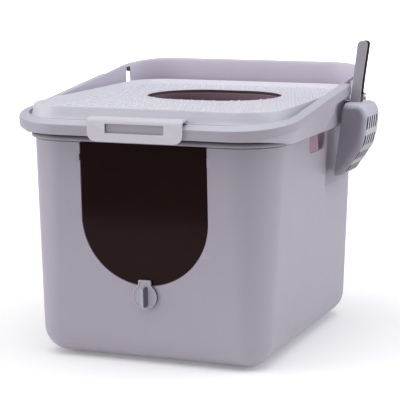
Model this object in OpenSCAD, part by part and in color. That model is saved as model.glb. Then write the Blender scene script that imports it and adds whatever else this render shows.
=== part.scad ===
// Top-entry cat litter box with a front flap door, an opening lid and a hung-on scoop.
// Frame: +Z up, -Y is the front with the flap door, origin on the floor under the tub's middle.

/* [Tub] */
// Outer width of the tub just under its flange
tub_w = 373; // [366:1:376]
// Outer depth of the tub just under its flange
tub_d = 446; // [440:1:449]
// Height of the flange's lower edge above the floor
flange_z = 317; // [317:1:319]
// Draft of the tub's four walls, in degrees
draft = 2.54; // [1:0.1:4]
// Wall thickness of the tub
wall = 3; // [2:0.5:4]
// Radius of the upright corners at the flange
corner_r = 63; // [55:1:70]
// Radius of the rounded edge round the floor of the tub
floor_r = 39; // [25:1:42]
// Height of the four pads under the tub
foot_h = 3; // [2:0.5:6]

/* [Front door] */
// Width of the flap door
door_w = 187; // [150:1:190]
// Height of the door's pivot axis above the floor
door_axis_z = 294; // [288:1:294]
// Gap between the door and its opening
door_gap = 1.5; // [1:0.25:3]
// Diameter of the round lock knob
knob_d = 37; // [30:1:40]

/* [Rim and guard] */
// Outer width of the rim frame
rim_w = 420; // [418:1:424]
// Outer depth of the rim frame
rim_d = 493; // [490:1:496]
// Height of the crest beside the lid, level with the tub's middle
crest_mid_z = 371.6; // [370:0.2:373]
// Rise of the crest for each millimetre towards the back
crest_slope = 0.107; // [0.1:0.001:0.112]
// Top of the back guard above the floor
guard_z = 399; // [396:1:405]

/* [Lid] */
// Height of the lid's raised border above the floor
lid_top_z = 365; // [363:1:367]
// Depth of the dotted plate below the lid's border
plate_drop = 7; // [5:0.5:8]
// Width of the entry hole
hole_w = 205; // [160:1:210]
// Depth of the entry hole, front to back
hole_d = 168; // [140:1:172]

/* [Scoop] */
// Width of the scoop
scoop_w = 80; // [70:1:80]
// Number of slots in each row of the scoop
slot_count = 6; // [5:1:8]

/* [Hidden] */

$fn = 96;
hull_fn = 32;
eps = 0.01;
big = 1000;

// tub
flange_h = 8;
flange_out = 5.6;
flange_top = flange_z + flange_h;
foot_x = 122;
foot_y = 158;
foot_d = 22;
hand_hole_y = [-48, 28];
hand_hole_z = 288;
hand_hole_r = 12;
recess_y = [42, 150];
recess_z = [228, 312];
recess_deep = 11;

// front wall, door and lock
door_top = 21;
door_straight = 84;
door_t = 3;
door_skin = 0.5;
door_mid = door_skin + door_t / 2;
door_axis_in = 4.2;
barrel_r = 3.2;
barrel_len = 24;
door_pin_r = 2.05;
bush_bore_r = 2.1;
bush_x = [door_w / 2 + 1, door_w / 2 + 6.5];
bush_h = 13;
knob_drop = 193;
knob_z = door_axis_z - knob_drop;
knob_t = 4;
knob_gap = 0.3;
tab_w = 20;
tab_top = 25;
ridge_size = [6, 32, 9];
sleeve_r = 5.9;
sleeve_bore_r = 6;
knob_boss_r = 11;
knob_boss_t = wall + 1.5;
sleeve_end = knob_boss_t + 0.3;
sleeve_flange_r = 9.5;
sleeve_flange_t = 2.5;
screw_r = 1.6;
screw_head_r = 4;
screw_head_t = 2.7;

// rim frame
rim_r = 88;
skin = 3;
rim_z = 327;
rim_rear_z = 352;
front_edge_z = 342;
front_in_y = 229;
inner_w = 392;
inner_d = 458;
inner_r = 70;
ledge_end = 100;
bay_y = [80, 165];
cut_y = -13;
cut_top = 359;
wing_end = 171.5;
seat_w = 368;
seat_d = 444;
seat_r = 54;
rest_w = 360;
rest_d = 434;
rest_r = 55;
rest_top = 346.7;
rest_end = 165;
crease_z = 343;
panel_y = 150;
crest_step = 0.4;

// guard
guard_gap = 0.6;
guard_t = 3;
roll_out = 5;
flange_from = 172;
peg_x = [50, 115];
peg_y = 238.4;
peg_r = 2.4;

// lid
lid_base_z = 347;
lid_base_w = 378;
lid_base_front = 227;
lid_base_rear = 224.5;
lid_top_in = 3;
lid_r = 62;
lid_t = 3;
plate_z = lid_top_z - plate_drop;
hole_y = 60;
hole_r = 80;
hinge_y = 180;
hinge_z = 348;
pin_r = 6.3;
slot_r = 6.5;
slot_x = 192;
slot_len = 14;
window_half = 8.5;
window_top = 386;
shank_r = 4;
shank_in = 19.5;
pin_end = 4.5;
pin_gap = 0.6;
boss_r = 7.5;
boss_len = 20;
border_top = 2;
border_slope = 9;

// latch
latch_w = 140;
latch_low_z = 321;
latch_corner_r = 12;
latch_y = -251;
latch_t = 2.8;
latch_axis = [-231.5, 350.5];
latch_barrel_r = 3.4;
latch_pin_r = 1.5;
latch_pin_len = 76;
latch_bore_r = 1.6;
latch_top_t = 2.2;
lug_x = [20, 28];
lug_r = 2.6;
lug_clear_r = 3.8;
window_w = 87;
window_z = [332, 346];
catch_z = [333, 345.4];
catch_h = 0.8;
catch_deep = 10;

// scoop: outline seen from the front, X against Z
scoop_y = 84;
scoop_t = 2.4;
scoop_rim = [[194, 246], [207, 344], [210, 353]];
scoop_back = [[238, 352], [244.5, 345], [245.5, 337], [240, 291], [225, 266], [209, 245.5], [198, 240]];
scoop_inside = [[190, 243.6], [205, 344], [206, 350], [237, 349.2], [242.1, 344], [243.1, 337],
    [237.6, 292], [222.6, 267.3], [208, 248.5], [197, 243]];
// rows of slots: X and Z of the middle, length and lean from upright
scoop_rows = [[243, 326, 17, 7], [239.5, 300, 15, 7], [231, 277, 14, 31], [219, 259, 12, 37]];
slot_w = 5.5;
slot_margin = 4;
handle_side = [[210, 350.5], [225.5, 350.5], [228.3, 382], [236.8, 437], [233.5, 444], [225, 444],
    [221, 438], [214.3, 385]];
handle_hollow = [[216.5, 362], [232, 362], [242, 437], [228, 437]];
handle_cheek = 3;
hook_side = [[200.7, 337.3], [203.2, 337.3], [203.2, 350.5], [212, 350.5], [212, 353], [200.7, 353]];
handle_w = 18;
hook_y = 91;
hook_w = 12;

function tub_half_w(z) = tub_w / 2 - (flange_z - z) * tan(draft);
function tub_half_d(z) = tub_d / 2 - (flange_z - z) * tan(draft);
function crest_z(y) = crest_mid_z + crest_slope * y;

// rounded rectangle of exact arcs
module rrect(w, d, r) {
    square([w - 2 * r, d], center = true);
    square([w, d - 2 * r], center = true);
    for (sx = [-1, 1], sy = [-1, 1])
        translate([sx * (w / 2 - r), sy * (d / 2 - r)]) circle(r);
}

// outline in Y and Z, drawn out along X
module along_x(w, points) {
    rotate([90, 0, 90]) linear_extrude(w, center = true) polygon(points);
}

// outline in X and Z, drawn out along Y between two stations
module along_y(y0, y1, points) {
    translate([0, y1, 0]) rotate([90, 0, 0]) linear_extrude(y1 - y0) polygon(points);
}

// frame on the leaning front wall: -Y outwards, +Z up the wall, y = 0 on its outer face
module on_front(z) {
    translate([0, -tub_half_d(z), z]) rotate([draft, 0, 0]) children();
}

// drafted tub body, inset from the outer surface
module tub_body(inset, top) {
    z0 = foot_h + inset;
    zc = foot_h + floor_r;
    ball = floor_r - inset;
    hull() {
        for (sx = [-1, 1], sy = [-1, 1]) {
            translate([sx * (tub_half_w(zc) - floor_r), sy * (tub_half_d(zc) - floor_r), zc])
                sphere(ball, $fn = hull_fn);
            translate([sx * (tub_half_w(top) - corner_r), sy * (tub_half_d(top) - corner_r), top - 1])
                cylinder(h = 1, r = corner_r - inset, $fn = 2 * hull_fn);
        }
        translate([0, 0, z0 + 0.5])
            cube([2 * tub_half_w(zc) - 2 * floor_r, 2 * tub_half_d(zc) - 2 * floor_r, 1], center = true);
    }
}

// D shape of the door in the plane of the front wall, grown by a gap
module door_shape(gap) {
    half = door_w / 2 + gap;
    rotate([90, 0, 0]) linear_extrude(3 * wall, center = true) {
        translate([-half, -door_straight]) square([2 * half, door_straight + door_top + gap]);
        translate([0, -door_straight]) circle(half);
    }
}

module hand_hole(side) {
    w = hand_hole_y[1] - hand_hole_y[0];
    mid = (hand_hole_y[0] + hand_hole_y[1]) / 2;
    h = flange_z - 1 - hand_hole_z;
    translate([side * tub_half_w(flange_z), mid, hand_hole_z])
        rotate([90, 0, 90]) linear_extrude(10 * wall, center = true) {
            translate([-w / 2 + hand_hole_r, 0]) square([w - 2 * hand_hole_r, h]);
            translate([-w / 2, hand_hole_r]) square([w, h - hand_hole_r]);
            for (s = [-1, 1])
                translate([s * (w / 2 - hand_hole_r), hand_hole_r]) circle(hand_hole_r);
        }
}

// wedge let into the right wall behind the scoop
module scoop_recess(back, side) {
    x_top = tub_half_w(recess_z[1]);
    x_low = tub_half_w(recess_z[0]);
    along_y(recess_y[0] - side, recess_y[1] + side, [
        [x_low - back, recess_z[0]], [x_top - recess_deep - back, recess_z[1] - 20],
        [x_top - recess_deep - back, recess_z[1] + back], [x_top + 9, recess_z[1] + back],
        [x_low + 9, recess_z[0]]]);
}

// thicker wall round the knob's hole
module knob_boss() {
    on_front(knob_z) rotate([90, 0, 0])
        cylinder(h = 2 * knob_boss_t, r = knob_boss_r, center = true);
}

module tub() {
    color([0.66, 0.64, 0.70]) difference() {
        union() {
            tub_body(0, flange_top);
            translate([0, 0, flange_z]) linear_extrude(flange_h)
                rrect(tub_w + 2 * flange_out, tub_d + 2 * flange_out, corner_r + flange_out);
            knob_boss();
        }
        difference() {
            union() {
                tub_body(wall, flange_top);
                translate([0, 0, flange_top - 1 - eps]) linear_extrude(2)
                    rrect(2 * tub_half_w(flange_top) - 2 * wall, 2 * tub_half_d(flange_top) - 2 * wall,
                        corner_r - wall);
            }
            scoop_recess(wall, wall);
            knob_boss();
        }
        scoop_recess(0, 0);
        on_front(knob_z) rotate([90, 0, 0]) {
            cylinder(h = 20, r = knob_boss_r + 1);
            cylinder(h = 40, r = sleeve_bore_r, center = true);
        }
        on_front(door_axis_z) door_shape(door_gap);
        for (side = [-1, 1]) {
            hand_hole(side);
            on_front(door_axis_z) bush_block(side);
        }
    }
}

module foot(sx, sy) {
    color([0.52, 0.51, 0.55]) translate([sx * foot_x, sy * foot_y, 0])
        cylinder(h = foot_h, d = foot_d);
}

module foot_front_left() { foot(-1, -1); }
module foot_front_right() { foot(1, -1); }
module foot_rear_left() { foot(-1, 1); }
module foot_rear_right() { foot(1, 1); }

// snap-in bush that holds the door's pivot
module bush_block(side) {
    translate([side * (bush_x[0] + bush_x[1]) / 2, wall / 2 + 2, 0])
        cube([bush_x[1] - bush_x[0], wall + 6, bush_h], center = true);
}

module door_bush(side) {
    color([0.64, 0.62, 0.68]) on_front(door_axis_z) difference() {
        intersection() {
            bush_block(side);
            translate([0, door_skin + 20, 0]) cube([big, 40, big], center = true);
        }
        translate([side * (bush_x[0] + bush_x[1]) / 2, door_axis_in, 0])
            rotate([0, 90, 0]) cylinder(h = 20, r = bush_bore_r, center = true);
    }
}

module door_bush_left() { door_bush(-1); }
module door_bush_right() { door_bush(1); }

module flap_door() {
    color([0.13, 0.08, 0.07, 0.9]) on_front(door_axis_z) {
        intersection() {
            door_shape(0);
            translate([0, door_mid, 0]) cube([big, door_t, big], center = true);
        }
        for (side = [-1, 1]) {
            translate([side * (door_w / 2 - barrel_len / 2), door_axis_in, 0])
                rotate([0, 90, 0]) cylinder(h = barrel_len, r = barrel_r, center = true);
            translate([side * (door_w / 2 + 2.2), door_axis_in, 0])
                rotate([0, 90, 0]) cylinder(h = 6, r = door_pin_r, center = true);
        }
    }
}

module lock_knob() {
    color([0.66, 0.65, 0.70]) on_front(knob_z) rotate([90, 0, 0]) difference() {
        translate([0, 0, knob_gap]) {
            cylinder(h = knob_t, d = knob_d);
            translate([-tab_w / 2, 0, 0]) cube([tab_w, tab_top, knob_t]);
            translate([-ridge_size[0] / 2, -ridge_size[1] / 2, 0])
                cube([ridge_size[0], ridge_size[1], knob_t + ridge_size[2]]);
        }
        translate([0, 0, -1]) cylinder(h = knob_t + 1, r = screw_r);
    }
}

// sleeve that turns in the front wall, with a flange behind it
module knob_sleeve() {
    color([0.66, 0.65, 0.70]) on_front(knob_z) rotate([90, 0, 0]) difference() {
        union() {
            translate([0, 0, -sleeve_end]) cylinder(h = sleeve_end + knob_gap, r = sleeve_r);
            translate([0, 0, -sleeve_end - sleeve_flange_t])
                cylinder(h = sleeve_flange_t + eps, r = sleeve_flange_r);
        }
        cylinder(h = 40, r = screw_r, center = true);
    }
}

module knob_screw() {
    head_z = -sleeve_end - sleeve_flange_t;
    color([0.75, 0.75, 0.77]) on_front(knob_z) rotate([90, 0, 0]) {
        translate([0, 0, head_z - screw_head_t]) cylinder(h = screw_head_t, r = screw_head_r);
        translate([0, 0, head_z - eps]) cylinder(h = knob_t - 0.5 - head_z, r = screw_r);
    }
}

// solid of the rim's outer shape, inset and lowered for its hollow underside
module rim_solid(inset, drop) {
    half = rim_d / 2;
    intersection() {
        translate([0, 0, rim_z - (drop > 0 ? 5 : 0)]) linear_extrude(100)
            rrect(rim_w - 2 * inset, rim_d - 2 * inset, rim_r - inset);
        along_x(rim_w + 10, [
            [-half - 1, rim_z - 10], [-half - 1, front_edge_z - drop], [-half, front_edge_z - drop],
            [-front_in_y, crest_z(-front_in_y) - drop], [ledge_end - drop, crest_z(ledge_end) - drop],
            [ledge_end - drop, rim_rear_z - drop], [half + 1, rim_rear_z - drop], [half + 1, rim_z - 10]]);
    }
}

module inner_wall() {
    intersection() {
        translate([0, 0, flange_top]) linear_extrude(100) difference() {
            rrect(inner_w + 2 * skin, inner_d + 2 * skin, inner_r + skin);
            rrect(inner_w, inner_d, inner_r);
        }
        along_x(rim_w, [
            [-rim_d, flange_top], [-rim_d, crest_z(-rim_d) - crest_step],
            [wing_end, crest_z(wing_end) - crest_step], [wing_end, rim_rear_z - crest_step],
            [rim_d, rim_rear_z - crest_step], [rim_d, flange_top]]);
    }
}

module flat_ring(z, h, w, d, r) {
    translate([0, 0, z]) linear_extrude(h) difference() {
        rrect(inner_w + 2 * skin - 1, inner_d + 2 * skin - 1, inner_r + skin - 0.5);
        rrect(w, d, r);
    }
}

// lower skirt that slopes in to the tub's flange along one side
module side_panel(side, y1) {
    x = rim_w / 2;
    foot_out = tub_w / 2 + flange_out + 0.7;
    scale_x = side;
    along_y(-panel_y, y1, [
        [scale_x * x, crease_z + 1], [scale_x * (x - skin), crease_z + 1],
        [scale_x * (x - skin), crease_z - 3], [scale_x * foot_out, flange_z],
        [scale_x * (foot_out + skin), flange_z], [scale_x * x, crease_z]]);
}

// raised panel that fills the latch's window
module latch_catch() {
    y0 = -rim_d / 2 - catch_h;
    along_x(window_w - 2, [
        [y0, catch_z[0]], [y0 + skin, catch_z[0]], [y0 + skin, catch_z[1] - 4],
        [y0 + catch_deep, catch_z[1] - 2], [y0 + catch_deep, catch_z[1]], [y0, catch_z[1]]]);
}

module rim_frame() {
    color([0.65, 0.63, 0.69]) difference() {
        union() {
            difference() {
                rim_solid(0, 0);
                rim_solid(skin, skin);
                translate([0, 0, flange_top]) linear_extrude(100)
                    rrect(inner_w + skin, inner_d + skin, inner_r + skin / 2);
                translate([0, 0, rim_z - 10 + (crease_z - rim_z + 10) / 2])
                    cube([rim_w + 10, 2 * panel_y, crease_z - rim_z + 10], center = true);
            }
            inner_wall();
            flat_ring(flange_top, skin, seat_w, seat_d, seat_r);
            intersection() {
                flat_ring(rest_top - skin, skin, rest_w, rest_d, rest_r);
                translate([-big / 2, -big + rest_end, 0]) cube([big, big, big]);
            }
            side_panel(-1, panel_y);
            side_panel(1, cut_y);
            latch_catch();
        }
        for (side = [-1, 1]) {
            translate([side * slot_x, hinge_y, hinge_z]) rotate([0, 90, 0])
                cylinder(h = slot_len, r = slot_r, center = true);
            translate([side * slot_x, hinge_y, hinge_z + 50])
                cube([slot_len, 2 * slot_r, 100], center = true);
        }
        translate([inner_w / 2 + skin, cut_y, rim_z - 15])
            cube([40, bay_y[1] - cut_y, cut_top - rim_z + 15]);
        translate([inner_w / 2 + skin, bay_y[0], rim_z - 15])
            cube([40, bay_y[1] - bay_y[0], 100]);
        for (x = peg_x, side = [-1, 1])
            translate([side * x, peg_y, rim_rear_z - 10]) cylinder(h = 20, r = peg_r + 0.1);
    }
}

// plan ring of the guard, between two offsets from its inner face
module guard_ring(from, to) {
    w = inner_w + 2 * skin + 2 * guard_gap;
    d = inner_d + 2 * guard_gap;
    difference() {
        rrect(w + 2 * to, d + 2 * to, inner_r + to);
        rrect(w + 2 * from, d + 2 * from, inner_r + from);
    }
}

module guard_profile(drop) {
    top = [[ledge_end + 1, 380.5], [ledge_end + 40, 385.5], [ledge_end + 65, 388.3], [190, 392.6],
        [212, 396], [inner_d / 2 + 4, guard_z], [inner_d, guard_z]];
    along_x(rim_w + 20, concat([for (p = top) [p[0], p[1] - drop]],
        drop == 0 ? [[inner_d, rim_rear_z], [ledge_end + 1, rim_rear_z]]
                  : [[inner_d, 0], [ledge_end, 0], [ledge_end, top[0][1] - drop]]));
}

module back_guard() {
    color([0.68, 0.65, 0.71]) difference() {
        intersection() {
            union() {
                translate([0, 0, rim_rear_z]) linear_extrude(100) guard_ring(0, guard_t);
                difference() {
                    translate([0, 0, rim_rear_z]) linear_extrude(100)
                        guard_ring(guard_t - 1, guard_t + roll_out);
                    guard_profile(3);
                }
                intersection() {
                    translate([0, 0, rim_rear_z]) linear_extrude(3) intersection() {
                        guard_ring(1, guard_t + 12);
                        rrect(rim_w - 4, rim_d - 4, rim_r - 2);
                    }
                    translate([-big / 2, flange_from, 0]) cube([big, big, big]);
                }
            }
            guard_profile(0);
        }
        translate([0, hinge_y, rim_rear_z])
            cube([rim_w, 2 * window_half, 2 * (window_top - rim_rear_z)], center = true);
        for (x = peg_x, side = [-1, 1])
            translate([side * x, peg_y, rim_rear_z - 10]) cylinder(h = 20, r = peg_r + 0.1);
    }
}

module guard_pegs() {
    color([0.6, 0.58, 0.64]) for (x = peg_x, side = [-1, 1])
        translate([side * x, peg_y, 0]) {
            translate([0, 0, rim_rear_z + 3]) cylinder(h = 2, r = 4);
            translate([0, 0, rim_rear_z - 6]) cylinder(h = 10, r = peg_r);
        }
}

// ledge on the rim's side wall on which the scoop's hook sits
module scoop_hook() {
    x = inner_w / 2 + skin;
    color([0.6, 0.58, 0.64]) along_y(hook_y - 10, hook_y + 8, [
        [x, 322], [x + 2, 322], [x + 8.2, 334], [x + 8.2, 340], [x + 6.2, 340], [x + 6.2, 337],
        [x, 337]]);
}

// drafted lid block between two heights, inset at its foot and further inset at its top
module lid_block(inset, z0, z1, top_in) {
    front = lid_base_front;
    rear = lid_base_rear;
    hull() for (sx = [-1, 1], end = [[-front, 1], [rear, -1]]) {
        translate([sx * (lid_base_w / 2 - lid_r), end[0] + end[1] * lid_r, z0])
            cylinder(h = 0.5, r = lid_r - inset, $fn = 2 * hull_fn);
        translate([sx * (lid_base_w / 2 - lid_r), end[0] + end[1] * lid_r, z1 - 0.5])
            cylinder(h = 0.5, r = lid_r - inset - top_in, $fn = 2 * hull_fn);
    }
}

module lid_hole(grow, z0, h) {
    translate([0, hole_y, z0]) linear_extrude(h)
        rrect(hole_w + 2 * grow, hole_d + 2 * grow, hole_r + grow);
}

module lid_boss(side) {
    translate([side * (lid_base_w / 2 - 18), hinge_y, hinge_z]) {
        rotate([0, 90, 0]) cylinder(h = boss_len, r = boss_r, center = true);
        translate([-boss_len / 2, -boss_r, 0])
            cube([boss_len, 2 * boss_r, plate_z - lid_t - hinge_z + 1]);
    }
}

// lug on the lid's front wall that holds the latch's pin
module latch_lug(sx) {
    w = lug_x[1] - lug_x[0];
    translate([sx * (lug_x[0] + lug_x[1]) / 2, latch_axis[0], latch_axis[1]]) {
        rotate([0, 90, 0]) cylinder(h = w, r = lug_r, center = true);
        translate([-w / 2, 0, -lug_r]) cube([w, 7, lug_r]);
    }
}

module top_lid() {
    color([0.86, 0.86, 0.90]) difference() {
        union() {
            difference() {
                lid_block(0, lid_base_z, lid_top_z, lid_top_in);
                lid_block(lid_t, lid_base_z - 1, plate_z - lid_t, 1);
                lid_block(lid_top_in + border_top + border_slope, plate_z, lid_top_z + 1,
                    -border_slope);
            }
            for (side = [-1, 1]) {
                lid_boss(side);
                latch_lug(side);
            }
            lid_hole(lid_t, lid_base_z + 2, plate_z - lid_base_z - 2);
        }
        lid_hole(0, lid_base_z - 5, 40);
        for (side = [-1, 1])
            translate([side * lid_base_w / 2, hinge_y, hinge_z]) rotate([0, 90, 0])
                cylinder(h = 40, r = shank_r, center = true);
        latch_rod(0, latch_pin_len + 4, latch_pin_r);
    }
}

module lid_pin(side) {
    x_in = lid_base_w / 2 - shank_in;
    x_slot = lid_base_w / 2 - pin_gap;
    color([0.80, 0.80, 0.84]) translate([0, hinge_y, hinge_z]) rotate([0, side * 90, 0]) {
        translate([0, 0, x_in]) cylinder(h = x_slot + 1 - x_in, r = shank_r);
        translate([0, 0, x_slot]) cylinder(h = slot_x + pin_end - x_slot, r = pin_r);
    }
}

module lid_pin_left() { lid_pin(-1); }
module lid_pin_right() { lid_pin(1); }

// face of the latch in X and Z, with rounded lower corners and a long window
module latch_face(top) {
    r = latch_corner_r;
    difference() {
        union() {
            translate([-latch_w / 2, latch_low_z + r]) square([latch_w, top - latch_low_z - r]);
            translate([-latch_w / 2 + r, latch_low_z]) square([latch_w - 2 * r, top - latch_low_z]);
            for (s = [-1, 1])
                translate([s * (latch_w / 2 - r), latch_low_z + r]) circle(r);
        }
        translate([-window_w / 2, window_z[0]]) square([window_w, window_z[1] - window_z[0]]);
    }
}

// cylinder along the latch's hinge axis
module latch_rod(x, w, r) {
    translate([x, latch_axis[0], latch_axis[1]]) rotate([0, 90, 0]) cylinder(h = w, r = r, center = true);
}

module front_latch() {
    top = latch_axis[1] + latch_barrel_r;
    play = 0.3;
    color([0.80, 0.79, 0.84]) difference() {
        union() {
            translate([0, latch_y + latch_t, 0]) rotate([90, 0, 0]) linear_extrude(latch_t) latch_face(top);
            translate([-latch_w / 2, latch_y, top - latch_top_t])
                cube([latch_w, latch_axis[0] - latch_y, latch_top_t]);
            for (s = [-1, 1])
                latch_rod(s * (latch_w / 4 + (lug_x[1] + play) / 2), latch_w / 2 - lug_x[1] - play,
                    latch_barrel_r);
            latch_rod(0, 2 * (lug_x[0] - play), latch_barrel_r);
        }
        for (s = [-1, 1])
            latch_rod(s * (lug_x[0] + lug_x[1]) / 2, lug_x[1] - lug_x[0] + 2 * play, lug_clear_r);
        latch_rod(0, 2 * latch_w, latch_bore_r);
    }
}

module latch_pin() {
    color([0.75, 0.75, 0.77]) latch_rod(0, latch_pin_len, latch_pin_r);
}

module scoop_slots() {
    pitch = (scoop_w - 2 * slot_margin) / slot_count;
    for (row = scoop_rows, i = [0 : slot_count - 1])
        translate([row[0], scoop_y + (i - (slot_count - 1) / 2) * pitch, row[1]])
            rotate([0, row[3], 0]) cube([16, slot_w, row[2]], center = true);
}

module litter_scoop() {
    y0 = scoop_y - scoop_w / 2;
    y1 = scoop_y + scoop_w / 2;
    color([0.62, 0.63, 0.68]) {
        difference() {
            along_y(y0, y1, concat(scoop_rim, scoop_back));
            along_y(y0 + scoop_t, y1 - scoop_t, scoop_inside);
            scoop_slots();
        }
        difference() {
            along_y(scoop_y - handle_w / 2, scoop_y + handle_w / 2, handle_side);
            along_y(scoop_y - handle_w / 2 + handle_cheek, scoop_y + handle_w / 2 - handle_cheek,
                handle_hollow);
        }
        along_y(hook_y - hook_w / 2, hook_y + hook_w / 2, hook_side);
    }
}

tub();
foot_front_left();
foot_front_right();
foot_rear_left();
foot_rear_right();
rim_frame();
back_guard();
guard_pegs();
scoop_hook();
door_bush_left();
door_bush_right();
flap_door();
lock_knob();
knob_sleeve();
knob_screw();
top_lid();
lid_pin_left();
lid_pin_right();
front_latch();
latch_pin();
litter_scoop();
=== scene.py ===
import math

import bmesh
import bpy
from mathutils import Matrix, Vector


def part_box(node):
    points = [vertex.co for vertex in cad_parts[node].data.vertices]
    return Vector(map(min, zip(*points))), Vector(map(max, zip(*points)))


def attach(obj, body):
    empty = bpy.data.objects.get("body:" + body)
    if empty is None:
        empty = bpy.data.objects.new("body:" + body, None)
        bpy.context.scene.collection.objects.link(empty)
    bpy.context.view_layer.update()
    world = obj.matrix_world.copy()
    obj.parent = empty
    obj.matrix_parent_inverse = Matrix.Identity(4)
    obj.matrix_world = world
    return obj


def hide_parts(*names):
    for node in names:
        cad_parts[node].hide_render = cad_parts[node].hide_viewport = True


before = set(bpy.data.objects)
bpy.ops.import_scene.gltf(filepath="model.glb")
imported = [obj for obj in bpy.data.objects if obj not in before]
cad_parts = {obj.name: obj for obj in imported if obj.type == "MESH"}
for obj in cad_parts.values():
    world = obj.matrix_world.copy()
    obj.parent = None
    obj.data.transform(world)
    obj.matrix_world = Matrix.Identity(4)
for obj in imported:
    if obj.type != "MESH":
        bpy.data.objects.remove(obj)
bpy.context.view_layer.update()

# -------- dimensions, in millimetres
MM = 0.001


def box_mm(node):
    low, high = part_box(node)
    return [v / MM for v in low], [v / MM for v in high]


TUB_W = 373.0
TUB_D = 446.0
FLANGE_Z = 317.0
FLANGE_TOP = 325.0
FLANGE_OUT = 5.6
GROOVE_Z = 314.6
DRAFT = math.radians(2.54)
WALL = 3.0
CORNER_R = 63.0
FLOOR_R = 39.0
FOOT_H = 3.0

DOOR_AXIS_Z = 294.0
DOOR_HALF = 93.5
DOOR_TOP = 21.0
DOOR_STRAIGHT = 84.0
DOOR_T = 3.0
DOOR_GAP = 1.5
DOOR_GROW = 0.8
DOOR_SKIN = 0.5
DOOR_AXIS_IN = 4.2
BUSH_FROM, BUSH_TO, BUSH_HALF = 1.0, 6.5, 6.5
KNOB_Z = 101.0
KNOB_R = 18.5
RECESS_LOW, RECESS_TOP = 228, 312
HOLE_FRONT, HOLE_REAR, HOLE_LOW = -48, 28, 288

RIM_HX, RIM_HY, RIM_R = 210.0, 246.5, 88.0
INNER_HX, INNER_HY, INNER_R = 196.0, 229.0, 70.0
REAR_Z = 352.0
LEDGE_END = 100.0
WING_END = 171.5
HINGE_Y = 180.0
HINGE_Z = 348.0
SLOT_HALF = 6.5
WINDOW_HALF = 8.5
WINDOW_TOP = 379.0
NOTCH_TOP = 386.0
GUARD_GAP = 0.6
PEG_XS = (-115, -50, 50, 115)
PEG_Y = 238.4

LID_TOP = 365.0
PLATE_Z = 358.0
LID_BASE = 347.0
LID_HX, LID_FRONT, LID_REAR, LID_R = 189.0, 227.0, 224.5, 62.0
HOLE_HX, HOLE_HY, HOLE_R, HOLE_Y = 102.5, 84.0, 80.0, 60.0

LATCH_AXIS = (-231.5, 350.5)
LATCH_FRONT = -251.0
LATCH_LOW = 321.0
LATCH_HALF, LATCH_WINDOW = 70.0, 43.5
SCOOP_Y0, SCOOP_Y1 = 44.0, 124.0
SCOOP_MID = (SCOOP_Y0 + SCOOP_Y1) / 2
SCOOP_SLOT, SLOT_SLANT = 2.75, 0.84
HANDLE_HALF, CHEEK = 9.0, 2.2


# -------- mesh helpers

def arc(centre, radius, a0, a1, steps):
    """Points on an arc, angles in degrees."""
    out = []
    for i in range(steps + 1):
        a = math.radians(a0 + (a1 - a0) * i / steps)
        out.append((centre[0] + radius * math.cos(a), centre[1] + radius * math.sin(a)))
    return out


def circle(centre, radius, steps):
    return arc(centre, radius, 0, 360, steps)[:-1]


def box_outline(x0, x1, half):
    return [(x0, -half), (x1, -half), (x1, half), (x0, half)]


def smoothstep(x, low, high):
    t = min(1.0, max(0.0, (x - low) / (high - low)))
    return t * t * (3 - 2 * t)


def lerp(a, b, t):
    return a + (b - a) * t


def piecewise(x, table):
    """Value at x of a line through (x, value) points."""
    if x <= table[0][0]:
        return table[0][1]
    for (x0, v0), (x1, v1) in zip(table, table[1:]):
        if x <= x1:
            return lerp(v0, v1, (x - x0) / (x1 - x0))
    return table[-1][1]


CORNER_STEPS = [i / 16 for i in range(17)]


def ring(hx, hy, r, steps=CORNER_STEPS, side_y=(), end_x=(), cy=0.0, splits=0):
    """Anticlockwise rounded rectangle as (x, y, nx, ny); side_y and end_x add points on the straights."""
    out = []
    if splits:
        spread = [2 * (i + 1) / (splits + 1) - 1 for i in range(splits)]
        side_y = [(hy - r) * f for f in spread]
        end_x = [(hx - r) * f for f in spread]
    corners = [(1, -1, -90), (1, 1, 0), (-1, 1, 90), (-1, -1, 180)]
    for sx, sy, start in corners:
        mirrored = sx * sy < 0
        fractions = [1 - f for f in reversed(steps)] if mirrored else steps
        for f in fractions:
            a = math.radians(start + 90 * f)
            nx, ny = math.cos(a), math.sin(a)
            out.append((sx * (hx - r) + r * nx, cy + sy * (hy - r) + r * ny, nx, ny))
        if start == -90:
            out += [(hx, y, 1.0, 0.0) for y in side_y]
        elif start == 0:
            out += [(x, cy + hy, 0.0, 1.0) for x in reversed(end_x)]
        elif start == 90:
            out += [(-hx, y, -1.0, 0.0) for y in reversed(side_y)]
        else:
            out += [(x, cy - hy, 0.0, -1.0) for x in end_x]
    return out


def loft(rings, closed_section=False, cap_first=False, cap_last=False, closed_ring=True):
    """Faces between successive lists of 3-D points of equal length."""
    verts = [p for r in rings for p in r]
    n, rows = len(rings[0]), len(rings)
    faces = []
    for i in range(rows if closed_section else rows - 1):
        a, b = i * n, ((i + 1) % rows) * n
        for j in range(n if closed_ring else n - 1):
            k = (j + 1) % n
            faces.append((a + j, a + k, b + k, b + j))
    if cap_first:
        faces.append(tuple(reversed(range(n))))
    if cap_last:
        faces.append(tuple(range((rows - 1) * n, rows * n)))
    return verts, faces


def make_mesh(name, verts, faces):
    mesh = bpy.data.meshes.new(name)
    mesh.from_pydata([Vector(v) * MM for v in verts], [], faces)
    bm = bmesh.new()
    bm.from_mesh(mesh)
    bmesh.ops.remove_doubles(bm, verts=bm.verts, dist=1e-6)
    bmesh.ops.recalc_face_normals(bm, faces=bm.faces)
    bm.to_mesh(mesh)
    bm.free()
    obj = bpy.data.objects.new(name, mesh)
    bpy.context.collection.objects.link(obj)
    return obj


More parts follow.
